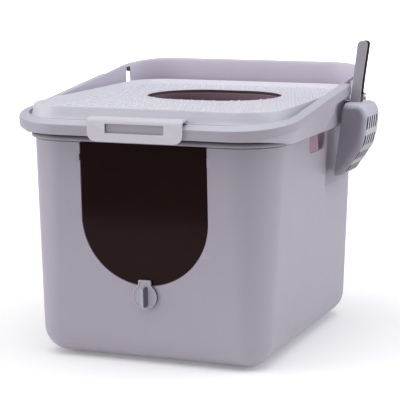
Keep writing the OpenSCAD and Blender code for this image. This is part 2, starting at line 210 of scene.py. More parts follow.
def prism(name, outline, place, depth):
    """Closed prism: outline of (u, v) points, place(u, v, w) gives the 3-D point, depth = (w0, w1)."""
    n = len(outline)
    verts = [place(u, v, w) for w in depth for u, v in outline]
    faces = [tuple(range(n)), tuple(reversed(range(n, 2 * n)))]
    faces += [(i, n + i, n + (i + 1) % n, (i + 1) % n) for i in range(n)]
    return make_mesh(name, verts, faces)


def across(u, v, w):
    """Outline in Y and Z, depth along X."""
    return (w, u, v)


def along(u, v, w):
    """Outline in X and Z, depth along Y."""
    return (u, w, v)


def on_side(side):
    """Outline in Y and Z, depth outwards on one side of the box."""
    return lambda u, v, w: (side * w, u, v)


def sideways(place):
    """The given frame with its outline across the wall and its depth along X."""
    return lambda u, v, w: place(w, u, v)


def upright_rings(x, y, profile, steps):
    """Rings of an upright round piece; profile of (radius, z)."""
    return [[(x + px, y + py, z) for px, py in circle((0, 0), r, steps)] for r, z in profile]


def apply_modifiers(obj):
    bpy.context.view_layer.objects.active = obj
    for modifier in list(obj.modifiers):
        bpy.ops.object.modifier_apply(modifier=modifier.name)


def boolean(obj, tool, operation="DIFFERENCE"):
    modifier = obj.modifiers.new("cut", "BOOLEAN")
    modifier.object = tool
    modifier.operation = operation
    modifier.solver = "EXACT"
    apply_modifiers(obj)
    mesh = tool.data
    bpy.data.objects.remove(tool)
    bpy.data.meshes.remove(mesh)


def soften(obj, width, test=None, segments=2, angle=35.0):
    """Round the sharp edges of a piece; test takes the edge's middle in millimetres."""
    bm = bmesh.new()
    bm.from_mesh(obj.data)
    bmesh.ops.remove_doubles(bm, verts=bm.verts, dist=1e-6)
    bmesh.ops.dissolve_degenerate(bm, edges=bm.edges, dist=1e-6)
    chosen = []
    for edge in bm.edges:
        if len(edge.link_faces) != 2:
            continue
        if math.degrees(edge.calc_face_angle(0.0)) < angle:
            continue
        middle = (edge.verts[0].co + edge.verts[1].co) / (2 * MM)
        if test is None or test(middle):
            chosen.append(edge)
    if chosen:
        bmesh.ops.bevel(bm, geom=chosen, offset=width * MM, segments=segments, profile=0.5,
                        affect="EDGES", clamp_overlap=True)
    bm.to_mesh(obj.data)
    bm.free()


def finish_piece(obj, body, material, nodes=(), smooth=32.0, areas=()):
    """Shade, paint and hand the piece to its CAD body.

    areas = pairs of a material and a test of a face's middle and normal.
    """
    mesh = obj.data
    mesh.materials.clear()
    mesh.materials.append(material)
    for other, _ in areas:
        mesh.materials.append(other)
    for polygon in mesh.polygons:
        polygon.use_smooth = True
        middle = polygon.center / MM
        polygon.material_index = 0
        for i, (_, test) in enumerate(areas):
            if test(middle, polygon.normal):
                polygon.material_index = i + 1
    mesh.set_sharp_from_angle(angle=math.radians(smooth))
    weighted = obj.modifiers.new("normals", "WEIGHTED_NORMAL")
    weighted.keep_sharp = True
    weighted.weight = 80
    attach(obj, body)
    if nodes:
        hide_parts(*nodes)
    return obj


def join(objects, name):
    bpy.ops.object.select_all(action="DESELECT")
    for obj in objects:
        obj.select_set(True)
    bpy.context.view_layer.objects.active = objects[0]
    bpy.ops.object.join()
    objects[0].name = name
    return objects[0]


# -------- materials

def scaled(colour, factor, add=0.0):
    return [min(1.0, c * factor + add) for c in colour] + [1.0]


def noise(tree, coords, scale, detail):
    """Noise in the piece's own coordinates."""
    node = tree.nodes.new("ShaderNodeTexNoise")
    node.inputs["Scale"].default_value = scale
    node.inputs["Detail"].default_value = detail
    tree.links.new(coords.outputs["Object"], node.inputs["Vector"])
    return node.outputs["Fac"]


def map_range(tree, source, limits):
    node = tree.nodes.new("ShaderNodeMapRange")
    for name, value in limits.items():
        node.inputs[name].default_value = value
    tree.links.new(source, node.inputs["Value"])
    return node.outputs["Result"]


def mix(tree, factor, base, colour):
    """Mix by a factor of the base, a colour or a socket, with a second colour."""
    node = tree.nodes.new("ShaderNodeMix")
    node.data_type = "RGBA"
    tree.links.new(factor, node.inputs["Factor"])
    if isinstance(base, list):
        node.inputs["A"].default_value = base
    else:
        tree.links.new(base, node.inputs["A"])
    node.inputs["B"].default_value = colour
    return node.outputs["Result"]


def plastic(name, colour, roughness=0.42, grain=0.12, mottle=0.02, alpha=1.0, specular=0.45,
            lit_colour=None, lit_from=(0.0, 0.0, 1.0), painted_shade=None):
    """Moulded plastic: satin grain, uneven colour and gloss, paler sharp edges as a painted highlight, and
    paler faces turned to the light as painted light.

    lit_colour is the painted-light colour of the faces turned to lit_from; painted_shade = (z0, z1, factor)
    is painted shade that darkens from z0 up to z1.
    """
    material = bpy.data.materials.new(name)
    material.use_nodes = True
    tree = material.node_tree
    shader = tree.nodes["Principled BSDF"]
    coords = tree.nodes.new("ShaderNodeTexCoord")
    geometry = tree.nodes.new("ShaderNodeNewGeometry")

    patches = noise(tree, coords, 9.0, 3.0)
    base = mix(tree, patches, scaled(colour, 1 - mottle), scaled(colour, 1 + mottle))
    # painted highlight: sharp edges get a paler colour
    edges = {"From Min": 0.53, "From Max": 0.62, "To Max": 0.35}
    edge_highlight = map_range(tree, geometry.outputs["Pointiness"], edges)
    base = mix(tree, edge_highlight, base, scaled(colour, 1.18, 0.015))

    # painted light: faces turned to the given direction take the paler second colour
    facing = tree.nodes.new("ShaderNodeVectorMath")
    facing.operation = "DOT_PRODUCT"
    facing.inputs[1].default_value = lit_from
    tree.links.new(geometry.outputs["Normal"], facing.inputs[0])
    lit_faces = map_range(tree, facing.outputs["Value"], {"From Min": 0.15, "From Max": 0.8})
    base = mix(tree, lit_faces, base, [*(lit_colour or colour), 1.0])
    # painted shade: darker towards the upper height
    if painted_shade:
        height = tree.nodes.new("ShaderNodeSeparateXYZ")
        tree.links.new(coords.outputs["Object"], height.inputs["Vector"])
        rise = map_range(tree, height.outputs["Z"], {"From Min": painted_shade[0] * MM, "From Max": painted_shade[1] * MM})
        base = mix(tree, rise, base, scaled(colour, painted_shade[2]))
    tree.links.new(base, shader.inputs["Base Color"])

    gloss = noise(tree, coords, 45.0, 4.0)
    rough = map_range(tree, gloss, {"To Min": roughness - 0.05, "To Max": roughness + 0.07})
    tree.links.new(rough, shader.inputs["Roughness"])

    bump = tree.nodes.new("ShaderNodeBump")
    bump.inputs["Strength"].default_value = grain
    bump.inputs["Distance"].default_value = 0.0002
    tree.links.new(noise(tree, coords, 1400.0, 2.0), bump.inputs["Height"])
    tree.links.new(bump.outputs["Normal"], shader.inputs["Normal"])

    shader.inputs["Specular IOR Level"].default_value = specular
    shader.inputs["Alpha"].default_value = alpha
    return material


def metal(name, colour):
    material = plastic(name, colour, roughness=0.3, grain=0.2)
    material.node_tree.nodes["Principled BSDF"].inputs["Metallic"].default_value = 1.0
    return material


SHELL = plastic("shell_plastic", (0.395, 0.358, 0.420))
# rim colour; its second, paler colour is painted light on the upward faces
RIM = plastic("rim_plastic", (0.43, 0.39, 0.455), lit_colour=(0.56, 0.55, 0.625))
# guard colour: partly its own paler tone, partly painted light for light through its thin wall; also used as
# a painted-light copy on shaded rim and tub faces
GUARD = plastic("guard_plastic", (0.65, 0.59, 0.685))
LID = plastic("lid_plastic", (0.71, 0.70, 0.77), roughness=0.36)
LATCH = plastic("latch_plastic", (0.66, 0.635, 0.70), roughness=0.38)
KNOB = plastic("knob_plastic", (0.42, 0.41, 0.465), roughness=0.4)
# painted shade for the knob's right-facing sides
KNOB_SHADE = plastic("knob_painted_shade", (0.10, 0.092, 0.125), roughness=0.45)
# near-black painted shade for the seat beside the left pivot
PIVOT_SHADE = plastic("pivot_seat_painted_shade", (0.008, 0.006, 0.012), roughness=0.5)
# scoop body darkened as painted shade, with painted light making faces turned up and to the right paler
SCOOP_SHADE_AND_LIGHT = plastic("scoop_painted_shade_and_light", (0.26, 0.235, 0.285), roughness=0.36, lit_colour=(0.60, 0.60, 0.69),
                lit_from=(0.62, 0.0, 0.78))
# lighter copy of the scoop colour: painted light on the handle
HANDLE_LIT = plastic("handle_painted_light", (0.40, 0.375, 0.42), roughness=0.36)
# dark painted shade for hollows: the lid hole's wall, the guard's notches, the scoop's handle channel and
# slots
HOLLOW_SHADE = plastic("hollow_painted_shade", (0.06, 0.032, 0.030), roughness=0.6)
# painted shade for the scoop recess, as under the scoop
RECESS_SHADE = plastic("recess_painted_shade", (0.36, 0.305, 0.40))
# flange colour with painted shade darkening up towards the rim
LIP_SHADE = plastic("lip_painted_shade", (0.41, 0.355, 0.415), painted_shade=(317.3, 323.0, 0.12))
FOOT = plastic("foot_rubber", (0.16, 0.15, 0.17), roughness=0.7, grain=0.3)
DOOR = plastic("door_tint", (0.013, 0.0055, 0.0048), roughness=0.1, grain=0.0, mottle=0.15,
               alpha=0.99, specular=0.115)
DOOR.node_tree.nodes["Principled BSDF"].inputs["Specular Tint"].default_value = (1.0, 0.74, 0.72, 1)
STEEL = metal("pin_steel", (0.62, 0.62, 0.64))


# -------- tub

def half_w(z):
    return TUB_W / 2 - (FLANGE_Z - z) * math.tan(DRAFT)


def half_d(z):
    return TUB_D / 2 - (FLANGE_Z - z) * math.tan(DRAFT)


def front_place(z0):
    """Point in the leaning front wall's frame: u to the right, v up the wall, w inwards."""
    c, s = math.cos(DRAFT), math.sin(DRAFT)

    def place(u, v, w):
        return (u, -half_d(z0) + w * c - v * s, z0 + w * s + v * c)
    return place


def tub_rings(inset, z_top, steps=10):
    """Rings of the drafted body, from its floor up to z_top."""
    zc = FOOT_H + FLOOR_R
    out = []
    cx, cyy = half_w(zc) - FLOOR_R, half_d(zc) - FLOOR_R
    ball = FLOOR_R - inset
    for i in range(1, steps + 1):
        a = math.radians(90 * i / steps)
        r = ball * math.sin(a)
        z = zc - ball * math.cos(a)
        out.append([(x, y, z) for x, y, _, _ in ring(cx + r, cyy + r, r, splits=9)])
    for i in range(1, 8):
        f = i / 7
        z = lerp(zc, z_top, f)
        r = lerp(FLOOR_R, CORNER_R, f) - inset
        out.append([(x, y, z) for x, y, _, _ in ring(half_w(z) - inset, half_d(z) - inset, r, splits=9)])
    return out


def door_outline(grow):
    half = DOOR_HALF + grow
    points = [(half, DOOR_TOP + grow), (-half, DOOR_TOP + grow), (-half, -DOOR_STRAIGHT)]
    points += arc((0, -DOOR_STRAIGHT), half, 180, 360, 64)[1:]
    return points


def build_tub():
    outer = tub_rings(0.0, GROOVE_Z)
    hx, hy = half_w(FLANGE_Z), half_d(FLANGE_Z)
    lip = []
    for out, z in ((-1.9, GROOVE_Z + 0.3), (-2.0, FLANGE_Z), (0.5, FLANGE_Z), (FLANGE_OUT - 0.6, FLANGE_Z),
                   (FLANGE_OUT, FLANGE_Z + 0.6), (FLANGE_OUT, FLANGE_TOP - 2.2),
                   (FLANGE_OUT - 0.7, FLANGE_TOP - 0.8), (FLANGE_OUT - 2.2, FLANGE_TOP)):
        lip.append([(x, y, z) for x, y, _, _ in ring(hx + out, hy + out, CORNER_R + out, splits=9)])
    inner = tub_rings(WALL, FLANGE_TOP)[::-1]
    verts, faces = loft(outer + lip + inner, cap_first=True, cap_last=True)
    tub = make_mesh("tub_shell", verts, faces)

    # scoop recess: a wedge let into the right wall, backed from inside
    def wedge(back, side, name):
        x_top, x_low = half_w(RECESS_TOP) - back, half_w(RECESS_LOW) - back
        deep, low, past = 11.0, RECESS_LOW - (2 if back else 0), (2 if back else 9)
        outline = [(x_low, low), (x_top - deep, 292), (x_top - deep, RECESS_TOP + back),
                   (x_top + past, RECESS_TOP + back), (x_low + past, low)]
        return prism(name, outline, along, (42 - side, 150 + side))
    boolean(tub, wedge(WALL, WALL, "backing"), "UNION")
    boolean(tub, wedge(0.0, 0.0, "recess"))

    # knob boss, bore, door opening, bush notches and hand holes
    boss_r, bore_r = 11, 6
    place = front_place(KNOB_Z)
    boolean(tub, prism("boss", circle((0, 0), boss_r, 48), place, (1.0, 4.5)), "UNION")
    boolean(tub, prism("bore", circle((0, 0), bore_r, 32), place, (-20, 20)))
    place = front_place(DOOR_AXIS_Z)
    boolean(tub, prism("opening", door_outline(DOOR_GAP), place, (-6, 6)))
    for side in (-1, 1):
        x0, x1 = side * (DOOR_HALF + BUSH_FROM), side * (DOOR_HALF + BUSH_TO)
        boolean(tub, prism("notch", box_outline(x0, x1, BUSH_HALF), place, (-6, 9)))
        r = 12.0
        outline = [(HOLE_FRONT, 316), (HOLE_FRONT, HOLE_LOW + r)]
        outline += arc((HOLE_FRONT + r, HOLE_LOW + r), r, 180, 270, 10)[1:]
        outline += arc((HOLE_REAR - r, HOLE_LOW + r), r, 270, 360, 10) + [(HOLE_REAR, 316)]
        boolean(tub, prism("hole", outline, on_side(side), (165, 200)))

    def cut_edge(m):
        front = m.y < -180 and 112 < m.z < 318 and abs(m.x) < DOOR_HALF + 8
        hole = abs(m.x) > 178 and 286 < m.z < 315 and -52 < m.y < 32
        recess = m.x > 172 and 226 < m.z < 313 and 40 < m.y < 152
        return front or hole or recess
    soften(tub, 0.7, cut_edge, angle=50)

    # painted shade: the recess faces take the darker colour
    def in_recess(m, normal):
        wall = half_w(m.z) - 1.2
        return 168 < m.x < wall and 43 < m.y < 149 and 229 < m.z < 312

    # painted shade: the flange faces under the rim take the shaded lip colour
    def on_lip(m, normal):
        return FLANGE_Z + 0.3 < m.z < FLANGE_TOP - 0.1 and abs(normal.z) < 0.6 and (
            abs(m.x) > TUB_W / 2 + 2 or abs(m.y) > TUB_D / 2 + 2 or math.hypot(m.x, m.y) > 250)

    # painted light: the backing's front face seen through the hand hole takes the paler guard colour
    def lit_backing_face(m, normal):
        return m.x < 186 and 38 < m.y < 41 and m.z > 226 and normal.y < -0.5
    return finish_piece(tub, "litter_box", SHELL, ("tub",),
                        areas=((RECESS_SHADE, in_recess), (LIP_SHADE, on_lip), (GUARD, lit_backing_face)))


def build_feet():
    for name in ("foot_front_left", "foot_front_right", "foot_rear_left", "foot_rear_right"):
        low, high = box_mm(name)
        cx, cy = (low[0] + high[0]) / 2, (low[1] + high[1]) / 2
        radius = (high[0] - low[0]) / 2
        profile = [(radius - 1.4, 0.0), (radius - 0.6, 0.2), (radius - 0.1, 0.9), (radius, 1.6),
                   (radius, 2.6), (radius - 0.4, 3.0)]
        verts, faces = loft(upright_rings(cx, cy, profile, 40), cap_first=True, cap_last=True)
        pad = make_mesh(name + "_pad", verts, faces)
        finish_piece(pad, "litter_box", FOOT, (name,))


# -------- rim frame and guard

SIDE_Y = [-140, -120, -100, -80, -60, -40, -20, 0, 20, 40, 60, 80, LEDGE_END - 0.05, LEDGE_END + 0.05,
          120, 140]
END_X = [-90, -60, -30, 0, 30, 60, 90]


def wall_fraction(y):
    """Fraction of a rear corner's quarter turn at which the inner wall reaches y."""
    return math.degrees(math.asin((y - (INNER_HY - INNER_R)) / INNER_R)) / 90


WING_STEPS = sorted(CORNER_STEPS + [wall_fraction(WING_END) - 0.0005, wall_fraction(WING_END) + 0.0005])


def crest(y):
    return 371.6 + 0.107 * y


CREASE = [(92, 343.0), (140, 342.0), (168, 339.4), (193, 336.0), (215, 332.0), (232, 329.0), (246.5, 327.8)]
SKIRT_FOOT = [(150, 317.3), (172, 318.6), (195, 321.4), (215, 324.0), (246.5, 326.4)]


def rim_section(inner, outer):
    """Closed cross-section of the rim at one station, as points (n outwards from the inner face, z)."""
    x, y, nx, ny = inner
    width = math.hypot(outer[0] - x, outer[1] - y)
    side = 1 - smoothstep(abs(outer[1]), 135, 235)
    wall_top = crest(y) if y < WING_END else REAR_Z
    ledge_top = crest(y) - 0.3 if y < LEDGE_END else REAR_Z - 0.3
    drop = lerp(4.6, 1.2, smoothstep(outer[1], -246, -150))
    edge = ledge_top - drop if y < LEDGE_END else REAR_Z - 0.8
    crease = piecewise(abs(outer[1]), CREASE)
    foot_z = piecewise(abs(outer[1]), SKIRT_FOOT)
    foot_out = lerp(3.4, 0.4, side)
    foot_in = foot_out - 2.7
    rest = 1.0 if y < 165 else 0.0
    ledge_in = -lerp(12.0, 16.0, abs(nx)) * rest - 0.05
    seat_in = -lerp(7.0, 12.0, abs(nx)) + 7.4 * abs(nx * ny)
    return [
        (foot_out, foot_z), (width - 0.9, crease - 0.6), (width - 0.2, crease - 0.1), (width, crease + 0.7),
        (width, edge - 2.2), (width - 0.5, edge - 0.9),
        (width - 1.6, edge - 0.1), (width - 3.2, edge + 0.25),
        (4.6, lerp(edge, ledge_top, 0.93)), (3.2, ledge_top), (2.6, wall_top - 0.1), (0.7, wall_top),
        (0.1, wall_top - 0.7),
        (0.0, 347.4 if y < 165 else 347.0), (-0.05, 346.7), (ledge_in, 346.7), (ledge_in - 0.01, 343.7),
        (0.0, 343.6), (0.0, 328.0), (seat_in, 328.0), (seat_in, 325.0), (3.0, 325.05),
        (3.0, min(edge, ledge_top) - 3.5), (width - 3.0, min(edge, ledge_top) - 3.6),
        (width - 3.0, crease + 1.5), (foot_in, foot_z + 0.6)]


def build_rim():
    inner = ring(INNER_HX, INNER_HY, INNER_R, WING_STEPS, SIDE_Y, END_X)
    outer = ring(RIM_HX, RIM_HY, RIM_R, WING_STEPS, SIDE_Y, END_X)
    columns = []
    for a, b in zip(inner, outer):
        dx, dy = b[0] - a[0], b[1] - a[1]
        length = math.hypot(dx, dy)
        dx, dy = dx / length, dy / length
        columns.append([(a[0] + n * dx, a[1] + n * dy, z) for n, z in rim_section(a, b)])
    rings = [[column[i] for column in columns] for i in range(len(columns[0]))]
    verts, faces = loft(rings, closed_section=True)
    rim = make_mesh("rim_band", verts, faces)

    for side in (-1, 1):
        outline = [(HINGE_Y - SLOT_HALF, 420), (HINGE_Y - SLOT_HALF, HINGE_Z)]
        outline += arc((HINGE_Y, HINGE_Z), SLOT_HALF, 180, 360, 12)[1:-1]
        outline += [(HINGE_Y + SLOT_HALF, HINGE_Z), (HINGE_Y + SLOT_HALF, 420)]
        boolean(rim, prism("slot", outline, on_side(side), (185, 199)))
    # side cut-out with a rounded corner, and the open bay behind it
    front, top, r = -7.0, 356.0, 16.0
    outline = [(-13, 305), (165, 305), (165, 425), (80, 425), (80, 363), (front + r, top)]
    outline += arc((front + r, top - r), r, 90, 180, 10)[1:] + [(-12, 325)]
    boolean(rim, prism("bay", outline, across, (INNER_HX + 3.1, 240)))
    # raised panel that the latch's window fits over
    y0 = -RIM_HY - 0.8
    low, top = 333, 345.4
    outline = [(y0, low), (y0 + 3, low), (y0 + 3, top - 4), (y0 + 10, top - 2), (y0 + 10, top), (y0, top)]
    boolean(rim, prism("catch", outline, across, (-42.5, 42.5)), "UNION")

    def cut_edge(m):
        bay = m.x > 198 and -20 < m.y < 170
        return bay or (m.y < -RIM_HY - 0.5 and abs(m.x) < 45)
    soften(rim, 0.6, cut_edge, angle=45)

    # painted light: the left wing's inner faces take the paler guard colour
    def lit_wing_inside(m, normal):
        return m.z > REAR_Z + 1 and m.x < 0 and normal.x > 0.6
    return finish_piece(rim, "litter_box", RIM, ("rim_frame",), areas=((GUARD, lit_wing_inside),))


GUARD_TOP = [(101, 380.0), (107, 381.4), (140, 385.5), (165, 388.3), (178, 390.3), (190, 392.6),
             (212, 396), (226, 398.4), (233, 399)]


def build_guard():
    hx, hy = INNER_HX + 3 + GUARD_GAP, INNER_HY + GUARD_GAP
    steps = sorted(CORNER_STEPS + [0.1295, 0.1305])
    points = ring(hx, hy, INNER_R, steps, [101, 107, 114, 126, 140, 150], END_X)
    start = next(i for i, p in enumerate(points) if p[0] > 0 and p[1] == 101)
    end = next(i for i, p in enumerate(points) if p[0] < 0 and p[1] == 101)
    columns = []
    for x, y, nx, ny in points[start:end + 1]:
        top = piecewise(y + 3 * ny, GUARD_TOP)
        flange = 11.0 if y > 172 else 3.05
        if abs(nx) > 0.99:
            flange = min(flange, 8.4)
        flange = max(flange, 3.45)
        flare = 0.55 + 0.45 * abs(ny)
        section = [(0, REAR_Z), (0, top - 24), (0.35 * flare, top - 16), (1.1 * flare, top - 10),
                   (2.3 * flare, top - 5), (3.6 * flare, top - 2.0), (4.8 * flare, top - 0.7),
                   (6.0 * flare, top - 0.1), (7.0 * flare, top), (7.7 * flare, top - 0.4),
                   (8.0 * flare, top - 1.4), (7.8 * flare, top - 2.6), (6.6 * flare, top - 3.2),
                   (3 + 2.4 * flare, top - 5), (3 + 1.4 * flare, top - 9), (3 + 0.5 * flare, top - 15),
                   (3, top - 23), (3, REAR_Z + 3.6), (3.4, REAR_Z + 3), (flange, REAR_Z + 3),
                   (flange, REAR_Z)]
        columns.append([(x + n * nx, y + n * ny, z) for n, z in section])
    rings = [[column[i] for column in columns] for i in range(len(columns[0]))]
    verts, faces = loft(rings, closed_section=True, closed_ring=False)
    n, count = len(columns), len(rings)
    faces.append(tuple(i * n for i in range(count)))
    faces.append(tuple(i * n + n - 1 for i in reversed(range(count))))
    guard = make_mesh("guard_wall", verts, faces)
    for side in (-1, 1):
        front, rear = HINGE_Y - WINDOW_HALF, HINGE_Y + WINDOW_HALF
        outline = [(front, 340), (rear, 340), (rear, WINDOW_TOP), (front, WINDOW_TOP)]
        boolean(guard, prism("window", outline, on_side(side), (175, 215)))
        notch = [(front, WINDOW_TOP - 1), (rear - 5, WINDOW_TOP - 1), (rear - 8, NOTCH_TOP),
                 (front + 1, NOTCH_TOP)]
        boolean(guard, prism("notch", notch, on_side(side), (170, 200.6)))
    for x in PEG_XS:
        boolean(guard, prism("peg_hole", circle((x, PEG_Y), 2.5, 24),
                             lambda u, v, w: (u, v, w), (340, 360)))

    # painted shade: the notch faces take the dark hollow colour
    def in_notch(m, normal):
        beside = abs(m.y - HINGE_Y) < WINDOW_HALF + 0.1 and abs(m.x) > 180
        return beside and WINDOW_TOP - 1 < m.z < NOTCH_TOP + 0.1
    return finish_piece(guard, "litter_box", GUARD, ("back_guard",), areas=((HOLLOW_SHADE, in_notch),))


def build_pegs():
    profile = [(1.6, 346.0), (2.4, 347.2), (2.4, 355.0), (3.9, 355.0), (4.0, 355.3), (3.6, 356.3),
               (2.4, 356.9), (1.0, 357.0)]
    pegs = []
    for x in PEG_XS:
        verts, faces = loft(upright_rings(x, PEG_Y, profile, 28), cap_first=True, cap_last=True)
        pegs.append(make_mesh("peg", verts, faces))
    finish_piece(join(pegs, "guard_peg_set"), "litter_box", RIM, ("guard_pegs",))


# -------- lid

def lid_ring(inset, z, cy=(LID_REAR - LID_FRONT) / 2):
    hy = (LID_REAR + LID_FRONT) / 2
    return [(x, y, z) for x, y, _, _ in ring(LID_HX - inset, hy - inset, max(LID_R - inset, 8),
                                             cy=cy, side_y=[-60, 0, 60], end_x=[-60, 0, 60])]


def foot_ring(inset, z):
    """Ring at the lid's foot, which flares out at the front and the sides only."""
    out = []
    plain = lid_ring(0.0, z)
    for (x, y, _), (px, py, _) in zip(lid_ring(inset, z), plain):
        f = smoothstep(y, 100, 150) if inset < 0 else 0.0
        out.append((lerp(x, px, f), lerp(y, py, f), z))
    return out


def hole_ring(grow, z):
    points = ring(HOLE_HX + grow, HOLE_HY + grow, HOLE_R + grow, cy=HOLE_Y,
                  side_y=[HOLE_Y - 2, HOLE_Y, HOLE_Y + 2], end_x=[-15, 0, 15])
    return [(x, y, z) for x, y, _, _ in points]


def build_lid():
    under = PLATE_Z - 3.0
    rings = [foot_ring(inset, LID_BASE + z) for inset, z in (
        (-1.2, 0), (-1.6, 0.4), (-1.4, 0.9), (-0.6, 2.2))]
    rings += [lid_ring(0.35, LID_BASE + 4.5), lid_ring(1.1, LID_BASE + 7.5)]
    rings += [lid_ring(inset, LID_TOP - z) for inset, z in (
        (2.7, 1.5), (2.95, 0.7), (3.4, 0.2), (4.1, 0), (5.4, 0), (6.2, 0.25), (7.2, 1.0))]
    rings += [lid_ring(inset, PLATE_Z + z) for inset, z in ((13.2, 1.3), (14.4, 0.4), (15.8, 0))]
    rings += [hole_ring(grow, PLATE_Z - z) for grow, z in (
        (1.0, 0), (0.4, 0.2), (0.0, 0.7), (0.0, 1.2), (0.0, 5.6), (0.4, 6.0), (2.6, 6.0), (3.0, 5.6),
        (3.0, 3.0))]
    rings += [lid_ring(14.0, under), lid_ring(4.0, under), lid_ring(3.2, LID_BASE)]
    verts, faces = loft(rings, closed_section=True)
    lid = make_mesh("lid_panel", verts, faces)
    for side in (-1, 1):
        # block round the hinge pin
        r = 7.5
        outline = arc((HINGE_Y, HINGE_Z), r, 180, 360, 16) + [(HINGE_Y + r, 356), (HINGE_Y - r, 356)]
        boolean(lid, prism("block", outline, on_side(side), (161, 181)), "UNION")
        # lug for the latch's rod
        (y, z), r = LATCH_AXIS, 2.6
        outline = arc((y, z), r, 0, 270, 18) + [(y + 7, z - r), (y + 7, z)]
        boolean(lid, prism("lug", outline, on_side(side), (20, 28)), "UNION")

    # painted shade: the hole's wall takes the dark hollow colour
    def hole_wall(m, normal):
        inside = abs(m.x) < HOLE_HX + 0.5 and abs(m.y - HOLE_Y) < HOLE_HY + 0.5
        return inside and abs(normal.z) < 0.3 and 352.2 < m.z < PLATE_Z - 1
    return finish_piece(lid, "lid", LID, ("top_lid",), areas=((HOLLOW_SHADE, hole_wall),))


def build_nubs():
    """Staggered round nubs over the plate, clear of the border and the hole."""
    pitch = 12.0
    base, height = 2.15, 1.55
    profile = [(base * r, PLATE_Z + z) for r, z in (
        (1, -0.2), (0.93, height * 0.42), (0.68, height * 0.8), (0.3, height * 0.98))]
    sides = 10
    verts, faces = [], []
    clear_x, clear_front, clear_rear, corner = LID_HX - 22, LID_FRONT - 22, LID_REAR - 20, LID_R - 20

    def inside_plate(x, y):
        dx = max(0.0, abs(x) - (clear_x - corner))
        dy = max(0.0, y - (clear_rear - corner), -y - (clear_front - corner))
        return math.hypot(dx, dy) < corner

    def outside_hole(x, y):
        grow = 5.0
        r = HOLE_R + grow
        dx = max(0.0, abs(x) - (HOLE_HX + grow - r))
        dy = max(0.0, abs(y - HOLE_Y) - (HOLE_HY + grow - r))
        return math.hypot(dx, dy) > r
    row_pitch = pitch / math.sqrt(2)
    rows = int(230 / row_pitch)
    for j in range(-rows, rows + 1):
        for i in range(-20, 21):
            x = (i + 0.5 * (j % 2)) * pitch * math.sqrt(2)
            y = j * row_pitch
            if not (inside_plate(x, y) and outside_hole(x, y)):
                continue
            start = len(verts)
            for points in upright_rings(x, y, profile, sides):
                verts += points
            for k in range(len(profile) - 1):
                a, b = start + k * sides, start + (k + 1) * sides
                faces += [(a + m, a + (m + 1) % sides, b + (m + 1) % sides, b + m) for m in range(sides)]
            top = start + (len(profile) - 1) * sides
            faces.append(tuple(range(top, top + sides)))
            faces.append(tuple(reversed(range(start, start + sides))))
    nubs = make_mesh("lid_nubs", verts, faces)
    finish_piece(nubs, "lid", LID, smooth=60)


def turned(name, axis_point, direction, profile, body, material, nodes, steps=40):
    """Round piece: profile of (radius, distance along the direction)."""
    d = Vector(direction).normalized()
    side = d.orthogonal().normalized()
    up = d.cross(side)
    rings = []
    for r, t in profile:
        centre = Vector(axis_point) + d * t
        rings.append([tuple(centre + side * px + up * py)
                      for px, py in circle((0, 0), r, steps)])
    verts, faces = loft(rings, cap_first=True, cap_last=True)
    obj = make_mesh(name, verts, faces)
    return finish_piece(obj, body, material, nodes)


def build_pins():
    for side, node in ((-1, "lid_pin_left"), (1, "lid_pin_right")):
        profile = [(3.4, 169.5), (4.0, 170.2), (4.0, 188.4), (6.3, 188.4), (6.3, 195.6), (5.9, 196.2),
                   (5.2, 196.5)]
        turned(node + "_turned", (0, HINGE_Y, HINGE_Z), (side, 0, 0), profile, "lid", LID, (node,))
    y, z = LATCH_AXIS
    profile = [(1.0, -38.0), (1.5, -37.4), (1.5, 37.4), (1.0, 38.0)]
    turned("latch_rod", (0, y, z), (1, 0, 0), profile, "lid", STEEL, ("latch_pin",), 20)


# -------- latch

def latch_columns():
    """Columns of (y, z) points down the plate, their x values, and the rows of the window's two ends."""
    y_axis, z_axis = LATCH_AXIS
    top = z_axis + 3.4
    bend = 7.5
    upper = [(y_axis + 2.2, top - 0.6), (y_axis, top), (y_axis - 4, top), (-242.5, top)]
    upper += arc((LATCH_FRONT + bend, top - bend), bend, 90, 180, 8)[1:]
    upper += [(LATCH_FRONT, 346), (LATCH_FRONT, 340)]
    window_top = next(k for k, (y, z) in enumerate(upper) if y == LATCH_FRONT and z <= 346.01)
    half, r = LATCH_HALF, 12.0
    xs = sorted({-half, half, -LATCH_WINDOW, LATCH_WINDOW, 0, -20, 20, -30, 30}
                | {round(s * (half - r + r * math.sin(math.radians(a))), 3)
                   for s in (-1, 1) for a in (0, 18, 36, 54, 72, 84)})
    columns = []
    for x in xs:
        over = max(0.0, abs(x) - (half - r))
        low = LATCH_LOW + r - math.sqrt(max(0.0, r * r - over * over))
        span = 333.0 - low
        columns.append(upper + [(LATCH_FRONT, low + span * f) for f in (1.0, 0.72, 0.45, 0.22, 0.08, 0.0)])
    return xs, columns, window_top, len(upper)


def latch_sheet(xs, columns, thickness, upright_from):
    """Outer and inner points of the bent plate, and where each one is in the list."""
    rows = len(columns[0])
    verts, index = [], {}
    for i, x in enumerate(xs):
        for k, (y, z) in enumerate(columns[i]):
            before = columns[i][max(k - 1, 0)]
            after = columns[i][min(k + 1, rows - 1)]
            tangent = Vector((after[0] - before[0], after[1] - before[1])).normalized()
            inner = (y - tangent.y * thickness, z + tangent.x * thickness)
            if k >= upright_from:
                inner = (LATCH_FRONT + thickness, z)
            index[i, k, 0] = len(verts)
            index[i, k, 1] = len(verts) + 1
            verts += [(x, y, z), (x, *inner)]
    return verts, index


